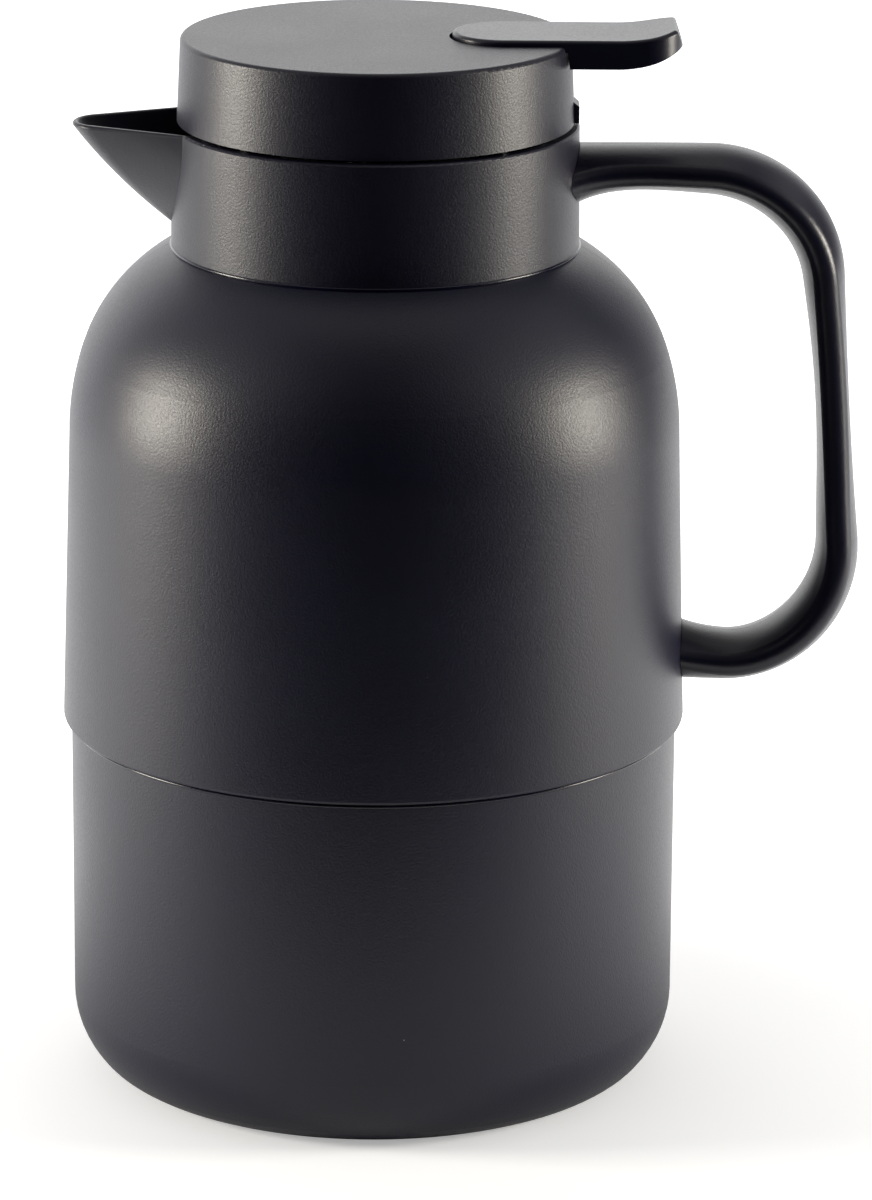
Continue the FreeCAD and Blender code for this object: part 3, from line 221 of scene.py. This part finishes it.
class CarafeStudio(bpy.types.PropertyGroup):
    """Floor, lamps and camera of the studio."""

    floor_half: length_property("Floor half width", "From the carafe to the floor's side edges", 1.3)
    floor_front: length_property("Floor front", "From the carafe to the floor's front edge", 0.24)
    floor_back: length_property("Floor back", "From the carafe to the floor's back edge", 1.6)
    # Middle of the painted shadow: the floor's white is weaker round this spot, right of and in front of the
    # carafe
    painted_shadow_place: bpy.props.FloatVectorProperty(
        name="Shadow",
        description="Middle of the grey that the floor keeps round the carafe",
        default=(0.03, -0.035, 0.0),
        unit="LENGTH",
    )
    floor_colour: colour_property("Floor", "Pale colour of the floor", (0.85, 0.86, 0.885))
    warm_colour: colour_property("Softbox colour", "Warm white of the softboxes", (1.0, 0.945, 0.84))
    cool_colour: colour_property("Panel colour", "White of the panel and the lamp overhead", (1.0, 1.0, 1.0))
    softbox_width: length_property("Softbox width", "Width of a side softbox", 0.24)
    softbox_height: length_property("Softbox height", "Height of a side softbox", 0.3)
    softbox_away: length_property("Softbox distance", "From the carafe to a side softbox", 0.78)
    softbox_forward: length_property("Softbox forward", "How far a softbox stands towards the camera", 0.07)
    softbox_level: length_property("Softbox level", "Height of a softbox's middle", 0.265)
    left_power: power_property("Left power", "Power of the softbox on the spout's side", 6.8)
    right_power: power_property("Right power", "Power of the softbox on the handle's side", 5.7)
    top_power: power_property("Top power", "Power of the soft lamp overhead", 1.2)
    panel_width: length_property("Panel width", "Width of the soft panel behind the carafe", 2.6)
    panel_height: length_property("Panel height", "Height of the soft panel behind the carafe", 1.2)
    panel_away: length_property("Panel distance", "From the carafe to the panel behind it", 1.7)
    panel_aside: length_property("Panel aside", "How far the panel stands to the left", 0.45)
    panel_power: power_property("Panel power", "Power of the soft panel behind the carafe", 8.0)
    camera_place: bpy.props.FloatVectorProperty(
        name="Camera",
        description="Where the camera stands",
        default=(0.01457, -1.3161, 0.50466),
        unit="LENGTH",
    )
    camera_pitch: angle_property("Pitch", "How far the camera looks down", 16.615)
    camera_roll: angle_property("Roll", "How far the camera leans", 0.395)
    camera_lens: bpy.props.FloatProperty(
        name="Lens", description="Focal length on a 36 mm frame", default=175.39, unit="CAMERA"
    )


# Shader maths


class Wire:
    """One output socket; sums and products of wires add Math nodes."""

    def __init__(self, paint, socket):
        self.paint = paint
        self.socket = socket

    def reckon(self, operation, first, second):
        """One Math node on two values."""
        return self.paint.node("ShaderNodeMath", {"operation": operation}, {0: first, 1: second})["Value"]

    def __add__(self, other):
        return self.reckon("ADD", self, other)

    def __sub__(self, other):
        return self.reckon("SUBTRACT", self, other)

    def __mul__(self, other):
        return self.reckon("MULTIPLY", self, other)

    def __lt__(self, other):
        return self.reckon("LESS_THAN", self, other)


class Paint:
    """The node tree of a material or of the world."""

    def __init__(self, owner):
        owner.use_nodes = True
        self.tree = owner.node_tree
        self.tree.nodes.clear()

    def node(self, kind, settings=None, sockets=None):
        """Add a node, set it up, feed its sockets and give its outputs by name."""
        made = self.tree.nodes.new(kind)
        for key, setting in (settings or {}).items():
            setattr(made, key, setting)
        for key, given in (sockets or {}).items():
            if isinstance(given, Wire):
                self.tree.links.new(given.socket, made.inputs[key])
            else:
                made.inputs[key].default_value = given
        return {out.name: Wire(self, out) for out in made.outputs if out.enabled}

    def noise(self, place, size, detail=2.0, distortion=0.0):
        """Noise from 0 to 1 whose lumps have a size in metres."""
        sockets = {"Vector": place, "Scale": 1.0 / size, "Detail": detail, "Distortion": distortion}
        return self.node("ShaderNodeTexNoise", {}, sockets)["Fac"]

    def spread(self, value, low, high, to_low=0.0, to_high=1.0):
        """A smooth step of a value from one span to another."""
        sockets = {"Value": value, 1: low, 2: high, 3: to_low, 4: to_high}
        settings = {"interpolation_type": "SMOOTHSTEP"}
        return self.node("ShaderNodeMapRange", settings, sockets)["Result"]

    def mixed(self, factor, first, second):
        """One colour that changes into another."""
        sockets = {0: factor, 6: first, 7: second}
        return self.node("ShaderNodeMix", {"data_type": "RGBA"}, sockets)["Result"]


def full(colour, factor=1.0):
    """A colour with its alpha, made lighter or darker."""
    return (*[min(part * factor, 1.0) for part in colour], 1.0)


def finish_material(name, sockets):
    """A material with one principled surface, and the paint that its sockets are mixed with."""
    material = bpy.data.materials.new(name)
    paint = Paint(material)
    surface = paint.node("ShaderNodeBsdfPrincipled", {}, sockets(paint))["BSDF"]
    paint.node("ShaderNodeOutputMaterial", {}, {"Surface": surface})
    return material


def moulded_plastic(name, colour, roughness, grain_size, grain_depth, dust=0.0, line=0.0):
    """Black plastic from an eroded mould: fine grain, faint clouds, specks of dust and a mould line."""

    def sockets(paint):
        place = paint.node("ShaderNodeTexCoord")["Object"]
        grain = paint.noise(place, grain_size, detail=3.0)
        clouds = paint.noise(place, CLOUD_SIZE, detail=4.0, distortion=0.4)
        tone = paint.mixed(clouds, full(colour, CLOUD_DARK), full(colour, CLOUD_LIGHT))
        if dust:
            cells = paint.node("ShaderNodeTexVoronoi", {}, {"Vector": place, "Scale": DUST_CELLS})
            lot = paint.node("ShaderNodeSeparateColor", {}, {0: cells["Color"]})
            speck = (cells["Distance"] < DUST_SPECK) * (lot["Red"] < dust)
            tone = paint.mixed(speck, tone, DUST_GREY)
        bump = {"Strength": GRAIN_STRENGTH, "Distance": grain_depth, "Height": grain}
        normal = paint.node("ShaderNodeBump", {}, bump)["Normal"]
        if line:
            across = paint.node("ShaderNodeSeparateXYZ", {}, {0: place})["Y"]
            aside = across.reckon("ABSOLUTE", across, 0.0)
            rise = paint.spread(aside, 0.0, line)
            groove = {"Strength": GRAIN_STRENGTH, "Distance": line, "Height": rise, "Normal": normal}
            normal = paint.node("ShaderNodeBump", {}, groove)["Normal"]
        uneven = (grain - 0.5) * GRAIN_ROUGHNESS + (clouds - 0.5) * CLOUD_ROUGHNESS
        return {
            "Base Color": tone,
            "Roughness": uneven + roughness,
            "Normal": normal,
            "IOR": PLASTIC_IOR,
        }

    return finish_material(name, sockets)


def soft_rubber(name, colour, roughness, grain_size):
    """Silicone or rubber with a dull skin and a trace of talc."""

    def sockets(paint):
        place = paint.node("ShaderNodeTexCoord")["Object"]
        grain = paint.noise(place, grain_size, detail=3.0)
        patches = paint.noise(place, TALC_SIZE, detail=5.0, distortion=0.5)
        talc = paint.spread(patches, *TALC_EDGE)
        bump = {"Strength": SKIN_STRENGTH, "Distance": SKIN_DEPTH, "Height": grain}
        return {
            "Base Color": paint.mixed(talc, full(colour, 0.9), full(colour, 1.15)),
            "Roughness": (grain - 0.5) * TALC_ROUGHNESS + talc * TALC_ROUGHNESS + roughness,
            "Normal": paint.node("ShaderNodeBump", {}, bump)["Normal"],
            "IOR": SILICONE_IOR,
        }

    return finish_material(name, sockets)


def silvered_glass(name, colour):
    """A glass wall with its mirror layer, drawn a little wavy."""

    def sockets(paint):
        place = paint.node("ShaderNodeTexCoord")["Object"]
        waves = paint.noise(place, WAVE_SIZE)
        haze = paint.noise(place, HAZE_SIZE, detail=4.0)
        bump = {"Strength": WAVE_STRENGTH, "Distance": WAVE_DEPTH, "Height": waves}
        return {
            "Base Color": paint.mixed(haze, full(colour, 0.96), full(colour, 1.03)),
            "Metallic": 1.0,
            "Roughness": (haze - 0.5) * HAZE_ROUGHNESS + GLASS_ROUGHNESS,
            "Normal": paint.node("ShaderNodeBump", {}, bump)["Normal"],
            "Coat Weight": 1.0,
            "Coat Roughness": COAT_ROUGHNESS,
        }

    return finish_material(name, sockets)


def drawn_steel(name, colour):
    """Stainless wire and screw steel with fine drawing marks."""

    def sockets(paint):
        place = paint.node("ShaderNodeTexCoord")["Object"]
        marks = paint.noise(place, MARK_SIZE, detail=4.0)
        tarnish = paint.noise(place, TARNISH_SIZE, detail=3.0)
        bump = {"Strength": MARK_STRENGTH, "Distance": MARK_DEPTH, "Height": marks}
        return {
            "Base Color": paint.mixed(tarnish, full(colour, 0.85), full(colour, 1.1)),
            "Metallic": 1.0,
            "Roughness": (marks - 0.5) * MARK_ROUGHNESS + STEEL_ROUGHNESS,
            "Normal": paint.node("ShaderNodeBump", {}, bump)["Normal"],
        }

    return finish_material(name, sockets)


def felt(name, colour):
    """Pressed fibre pads."""

    def sockets(paint):
        place = paint.node("ShaderNodeTexCoord")["Object"]
        fibres = paint.noise(place, FIBRE_SIZE, detail=6.0, distortion=1.5)
        bump = {"Strength": FIBRE_STRENGTH, "Distance": FIBRE_DEPTH, "Height": fibres}
        return {
            "Base Color": paint.mixed(fibres, full(colour, 0.6), full(colour, 1.2)),
            "Roughness": fibres * FIBRE_ROUGHNESS + FELT_ROUGHNESS,
            "Normal": paint.node("ShaderNodeBump", {}, bump)["Normal"],
        }

    return finish_material(name, sockets)


def dress(material, *names):
    """Give some pieces of the frame a material."""
    for name in names:
        slots = NODES[name].data.materials
        slots.clear()
        slots.append(material)


def new_piece(name, data):
    """An object in the scene."""
    piece = bpy.data.objects.new(name, data)
    bpy.context.scene.collection.objects.link(piece)
    return piece


def wound_wire(name, radius, low, high, wire, turns, material):
    """A round wire wound about the axis; with both ends on one level it is a closed ring."""
    closed = low == high
    form = bmesh.new()
    rows = []
    for i in range(WIRE_STEPS if closed else WIRE_STEPS + 1):
        turn = Matrix.Rotation(math.tau * turns * i / WIRE_STEPS, 3, "Z")
        level = low + (high - low) * i / WIRE_STEPS
        row = []
        for j in range(WIRE_SIDES):
            angle = math.tau * j / WIRE_SIDES
            place = Vector((radius + wire * math.cos(angle), 0.0, level + wire * math.sin(angle)))
            row.append(form.verts.new(turn @ place))
        rows.append(row)
    if closed:
        rows.append(rows[0])
    else:
        form.faces.new(rows[0])
        form.faces.new(rows[-1][::-1])
    for row, after in zip(rows, rows[1:]):
        for j in range(WIRE_SIDES):
            beside = (j + 1) % WIRE_SIDES
            form.faces.new((row[j], after[j], after[beside], row[beside]))
    mesh = bpy.data.meshes.new(name)
    form.to_mesh(mesh)
    form.free()
    mesh.shade_smooth()
    mesh.materials.append(material)
    return new_piece(name, mesh)


# Operators


class DressShells(bpy.types.Operator):
    """Give the upper and lower shell their matte moulded black"""

    bl_idname = "carafe.dress_shells"
    bl_label = "Shells"

    def execute(self, context):
        look = context.scene.carafe_finishes
        shell = moulded_plastic(
            "shell_black",
            look.shell_colour,
            look.shell_roughness,
            look.grain_size,
            look.grain_depth,
            dust=look.shell_dust,
            line=look.line_width,
        )
        dress(shell, "lower_shell", "upper_shell")
        return {"FINISHED"}


class DressTrim(bpy.types.Operator):
    """Give collar, lid, handle and lever their satin black"""

    bl_idname = "carafe.dress_trim"
    bl_label = "Collar, lid, handle and lever"

    def execute(self, context):
        look = context.scene.carafe_finishes
        grain, depth = look.grain_size, look.grain_depth
        trim = moulded_plastic(
            "trim_black", look.trim_colour, look.trim_roughness, grain, depth, dust=look.trim_dust
        )
        dress(trim, "spout_collar", "lid_cap")
        grip = moulded_plastic(
            "handle_black",
            look.trim_colour,
            look.handle_roughness,
            grain,
            depth * look.handle_grain,
            line=look.line_width,
        )
        dress(grip, "handle")
        fine = depth * look.lever_grain
        thumb = moulded_plastic("lever_black", look.trim_colour, look.lever_roughness, grain, fine)
        dress(thumb, "lever")
        return {"FINISHED"}


class MouldEdges(bpy.types.Operator):
    """Add the fine edges at the collar's foot and below the step of the shells"""

    bl_idname = "carafe.mould_edges"
    bl_label = "Moulded edges"

    def execute(self, context):
        edges = context.scene.carafe_edges
        look = context.scene.carafe_finishes
        fine = look.grain_depth * edges.edge_grain
        black = moulded_plastic("edge_black", look.trim_colour, edges.edge_roughness, look.grain_size, fine)
        rings = (
            ("collar_edge", edges.collar_radius, edges.collar_level, "satin_black"),
            ("shell_ledge", edges.ledge_radius, edges.ledge_level, "shell"),
        )
        for name, radius, level, slot in rings:
            ring = wound_wire(name, radius, level, level, edges.edge_radius, 1, black)
            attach(ring, "jug")
        return {"FINISHED"}


class DressStopper(bpy.types.Operator):
    """Give the stopper, the valve and their seals their materials"""

    bl_idname = "carafe.dress_stopper"
    bl_label = "Stopper, valve and seals"

    def execute(self, context):
        look = context.scene.carafe_finishes
        inner = moulded_plastic(
            "stopper_black", look.inner_colour, look.inner_roughness, look.grain_size, look.grain_depth
        )
        dress(inner, "stopper", "guide_plate", "valve_stem", "washer_retainer")
        silicone = soft_rubber(
            "silicone_grey", look.silicone_colour, look.silicone_roughness, look.silicone_grain
        )
        dress(silicone, "lid_gasket", "neck_seal", "valve_washer", "stem_grommet")
        steel = drawn_steel("steel", look.steel_colour)
        dress(steel, "lever_pin", "lid_screws", "handle_screw")
        return {"FINISHED"}


class WindSpring(bpy.types.Operator):
    """Wind the valve's coil spring in place of the frame's spring, and reckon the share of its length left
    when the lever is pressed
    """

    bl_idname = "carafe.wind_spring"
    bl_label = "Valve spring"

    def execute(self, context):
        coil = context.scene.carafe_spring
        steel = drawn_steel("spring_steel", context.scene.carafe_finishes.steel_colour)
        low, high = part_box("valve_spring")
        wire = coil.wire_radius
        radius = (high[1] - low[1]) / 2 - wire
        spring = wound_wire("spring_coil", radius, low[2] + wire, high[2] - wire, wire, coil.turns, steel)
        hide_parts("valve_spring")
        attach(spring, "lid")
        behaviour = frame["record"]["behaviour"]
        joints = {joint["name"]: joint for joint in behaviour["joints"]}
        fixed_level = joints["valve_lift"]["deforming_nodes"][0]["fixed_end_z_m"]
        press = math.radians(joints["lever_press"]["range_deg"][1])
        lift = behaviour["couplings"][0]["ratio"] * press
        keep = 1.0 - lift / (fixed_level - low[2])
        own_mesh(spring)
        return {"FINISHED"}


class DressFlask(bpy.types.Operator):
    """Give the glass flask, its pads and its cushion their materials"""

    bl_idname = "carafe.dress_flask"
    bl_label = "Flask"

    def execute(self, context):
        look = context.scene.carafe_finishes
        dress(silvered_glass("silvered_glass", look.glass_colour), "outer_flask", "inner_flask")
        dress(felt("felt", look.felt_colour), "flask_pads")
        rubber = soft_rubber("cushion_rubber", look.rubber_colour, look.rubber_roughness, look.rubber_grain)
        dress(rubber, "base_cushion")
        return {"FINISHED"}


def area_lamp(name, place, target, width, height, power, colour):
    """A soft rectangular lamp that faces a point."""
    lamp = bpy.data.lights.new(name, "AREA")
    lamp.shape = "RECTANGLE"
    lamp.size = width
    lamp.size_y = height
    lamp.energy = power
    lamp.color = colour
    holder = new_piece(name, lamp)
    holder.location = place
    holder.rotation_mode = "QUATERNION"
    holder.rotation_quaternion = (Vector(target) - Vector(place)).to_track_quat("-Z", "Y")


class SetStudio(bpy.types.Operator):
    """Make the pale floor, the white surroundings, the lamps and the camera"""

    bl_idname = "carafe.set_studio"
    bl_label = "Studio"

    def execute(self, context):
        studio = context.scene.carafe_studio
        self.lay_floor(studio)
        self.light_surroundings(context.scene)
        self.hang_lamps(studio)
        self.place_camera(context.scene, studio)
        context.scene.view_settings.view_transform = "Standard"
        return {"FINISHED"}

    def lay_floor(self, studio):
        """A pale floor that keeps the shadow, with painted shadow where its white is weaker round a spot
        beside the carafe, and turns into the white ground further out.
        """
        mesh = bpy.data.meshes.new("floor")
        half, front, back = studio.floor_half, studio.floor_front, studio.floor_back
        corners = [(-half, -front, 0), (half, -front, 0), (half, back, 0), (-half, back, 0)]
        mesh.from_pydata(corners, [], [(0, 1, 2, 3)])
        floor = new_piece("floor", mesh)
        material = bpy.data.materials.new("floor_white")
        paint = Paint(material)
        place = paint.node("ShaderNodeTexCoord")["Object"]
        away = paint.node("ShaderNodeVectorMath", {"operation": "LENGTH"}, {0: place})["Value"]
        # Painted shadow: the floor's white is weakened round a spot beside the carafe, which widens and
        # shifts the real shadow
        middle = {0: place, 1: studio.painted_shadow_place}
        beside = paint.node("ShaderNodeVectorMath", {"operation": "DISTANCE"}, middle)["Value"]
        ahead = paint.node("ShaderNodeSeparateXYZ", {}, {0: place})["Y"]
        path = paint.node("ShaderNodeLightPath")
        eye = path["Is Camera Ray"] + path["Is Transmission Ray"]
        seen_with_painted_shadow = paint.spread(beside, *FLOOR_SEEN_PAINTED_SHADOW) * eye
        mirrored = paint.spread(away, *FLOOR_MIRRORED) * paint.spread(ahead, *FLOOR_FRONT)
        level = mirrored * path["Is Glossy Ray"] + seen_with_painted_shadow
        shade = paint.mixed(level, BLACK, WHITE)
        matte = paint.node("ShaderNodeBsdfDiffuse", {}, {"Color": full(studio.floor_colour)})["BSDF"]
        white = paint.node("ShaderNodeEmission", {}, {"Color": shade})["Emission"]
        surface = paint.node("ShaderNodeAddShader", {}, {0: matte, 1: white})["Shader"]
        paint.node("ShaderNodeOutputMaterial", {}, {"Surface": surface})
        mesh.materials.append(material)

    def light_surroundings(self, scene):
        """White behind, white flats above the softboxes, dim overhead and dark in front."""
        world = bpy.data.worlds.new("studio")
        scene.world = world
        paint = Paint(world)
        direction = paint.node("ShaderNodeTexCoord")["Generated"]
        parts = paint.node("ShaderNodeSeparateXYZ", {}, {0: direction})
        behind = paint.spread(parts["Y"] - parts["X"] * BACK_LEAN, *BACK_WHITE)
        aside = parts["X"].reckon("ABSOLUTE", parts["X"], 0.0)
        flats = paint.spread(aside, *FLATS_ASIDE) * paint.spread(parts["Z"], *FLATS_UP)
        above = paint.spread(parts["Z"], *OVERHEAD) + flats
        path = paint.node("ShaderNodeLightPath")
        level = behind.reckon("MAXIMUM", behind, above)
        level = level.reckon("MAXIMUM", level, path["Is Camera Ray"])
        ground = {"Color": WHITE, "Strength": level}
        background = paint.node("ShaderNodeBackground", {}, ground)["Background"]
        paint.node("ShaderNodeOutputWorld", {}, {"Surface": background})

    def hang_lamps(self, studio):
        """Two softboxes at the sides, a soft panel behind and a soft lamp overhead."""
        target = (0.0, 0.0, studio.softbox_level)
        softboxes = ("softbox_left", -1, studio.left_power), ("softbox_right", 1, studio.right_power)
        for name, side, power in softboxes:
            place = (side * studio.softbox_away, -studio.softbox_forward, studio.softbox_level)
            size = studio.softbox_width, studio.softbox_height
            area_lamp(name, place, target, *size, power, studio.warm_colour)
        place = (-studio.panel_aside, studio.panel_away, studio.panel_height / 2)
        size = studio.panel_width, studio.panel_height
        area_lamp("panel_back", place, target, *size, studio.panel_power, studio.cool_colour)
        size = TOP_SIZE, TOP_SIZE
        area_lamp("lamp_top", TOP_PLACE, TOP_TARGET, *size, studio.top_power, studio.cool_colour)

    def place_camera(self, scene, studio):
        """The photograph's point of view."""
        data = bpy.data.cameras.new("camera")
        data.lens = studio.camera_lens
        data.sensor_width = SENSOR_WIDTH
        data.clip_start = CLIP_NEAR
        data.clip_end = CLIP_FAR
        camera = new_piece("camera", data)
        tilt = Matrix.Rotation(math.pi / 2 - studio.camera_pitch, 4, "X")
        roll = Matrix.Rotation(studio.camera_roll, 4, "Z")
        camera.matrix_world = Matrix.Translation(studio.camera_place) @ tilt @ roll
        scene.camera = camera


class CarafePanel(bpy.types.Panel):
    """Buttons for the carafe's pieces and its studio"""

    bl_idname = "VIEW3D_PT_carafe"
    bl_label = "Thermal Carafe"
    bl_space_type = "VIEW_3D"
    bl_region_type = "UI"
    bl_category = "Carafe"

    def draw(self, context):
        column = self.layout.column()
        for operator in OPERATORS:
            column.operator(operator.bl_idname)
        scene = context.scene
        groups = scene.carafe_finishes, scene.carafe_edges, scene.carafe_spring, scene.carafe_studio
        for group in groups:
            box = self.layout.box()
            for name in group.bl_rna.properties.keys():
                if name not in ("rna_type", "name"):
                    box.prop(group, name)


OPERATORS = (DressShells, DressTrim, MouldEdges, DressStopper, WindSpring, DressFlask, SetStudio)
CLASSES = (CarafeFinishes, CarafeEdges, CarafeSpring, CarafeStudio, *OPERATORS, CarafePanel)


def register():
    """Make the classes known and hang the property groups on the scene."""
    for item in CLASSES:
        bpy.utils.register_class(item)
    bpy.types.Scene.carafe_finishes = bpy.props.PointerProperty(type=CarafeFinishes)
    bpy.types.Scene.carafe_edges = bpy.props.PointerProperty(type=CarafeEdges)
    bpy.types.Scene.carafe_spring = bpy.props.PointerProperty(type=CarafeSpring)
    bpy.types.Scene.carafe_studio = bpy.props.PointerProperty(type=CarafeStudio)


def unregister():
    """Undo register."""
    del bpy.types.Scene.carafe_studio
    del bpy.types.Scene.carafe_spring
    del bpy.types.Scene.carafe_edges
    del bpy.types.Scene.carafe_finishes
    for item in reversed(CLASSES):
        bpy.utils.unregister_class(item)


def main():
    """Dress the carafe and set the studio."""
    register()
    bpy.ops.carafe.dress_shells()
    bpy.ops.carafe.dress_trim()
    bpy.ops.carafe.mould_edges()
    bpy.ops.carafe.dress_stopper()
    bpy.ops.carafe.wind_spring()
    bpy.ops.carafe.dress_flask()
    bpy.ops.carafe.set_studio()


if __name__ == "__main__":
    main()
